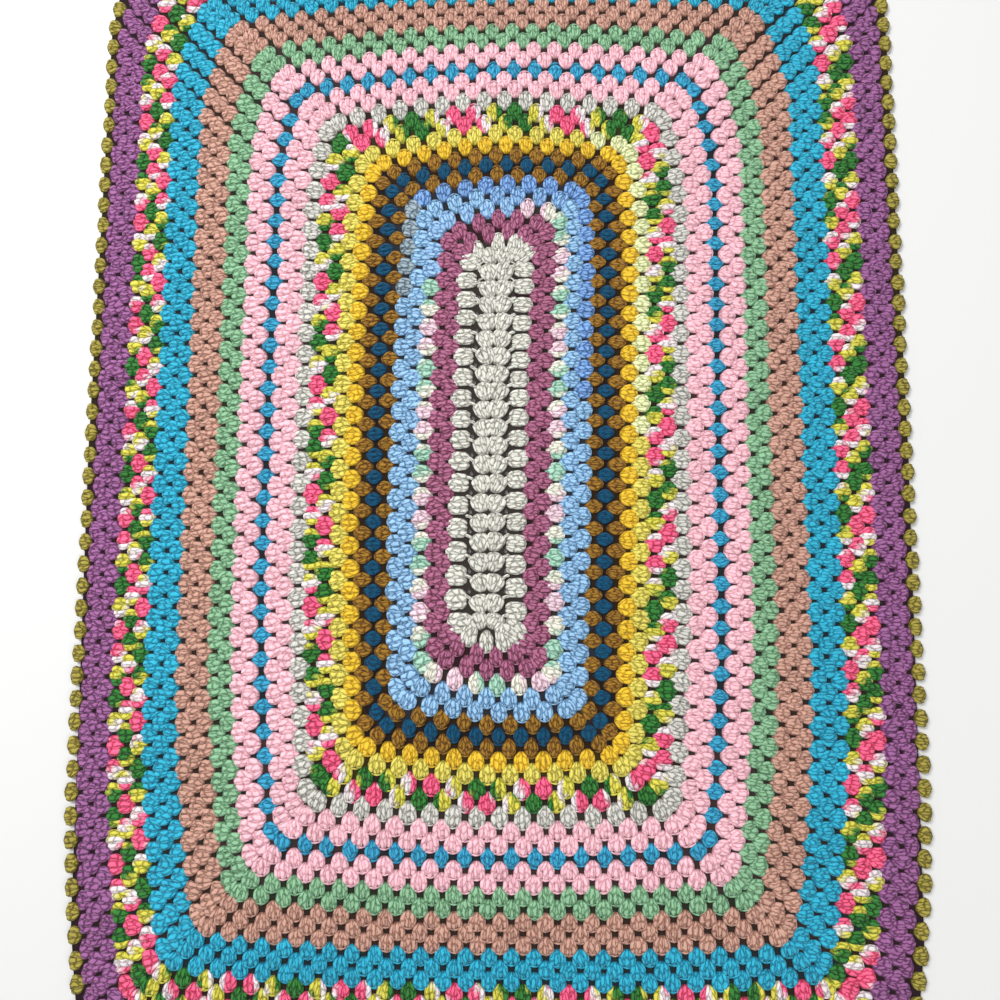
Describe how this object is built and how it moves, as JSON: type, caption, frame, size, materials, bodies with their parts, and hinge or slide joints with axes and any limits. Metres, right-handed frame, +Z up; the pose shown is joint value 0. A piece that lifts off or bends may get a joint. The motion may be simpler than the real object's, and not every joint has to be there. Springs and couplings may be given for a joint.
{
  "type": "crochet afghan",
  "caption": "Flat crocheted afghan worked in rounds of clusters from a cream centre strip, in bands of many yarn colours, with a scalloped rim.",
  "frame": {"origin": "under the middle of the afghan's box, on the surface that it lies on", "axes": "+X across the afghan, +Y along its length to the head end, +Z up out of its face"},
  "size_m": [0.6894, 0.9668, 0.0048],
  "materials": {
    "yarn": "matte",
    "yarn_cream": "matte",
    "yarn_mauve": "matte",
    "yarn_pale_mix": "matte",
    "yarn_light_blue": "matte",
    "yarn_ochre": "matte",
    "yarn_teal": "matte",
    "yarn_gold": "matte",
    "yarn_lemon": "matte",
    "yarn_bright_mix": "matte",
    "yarn_pale_grey": "matte",
    "yarn_pink": "matte",
    "yarn_turquoise": "matte",
    "yarn_sage": "matte",
    "yarn_tan": "matte",
    "yarn_blue": "matte",
    "yarn_purple": "matte",
    "yarn_mustard": "matte"
  },
  "bodies": {
    "root": {"afghan": "yarn"}
  },
  "joints": []
}
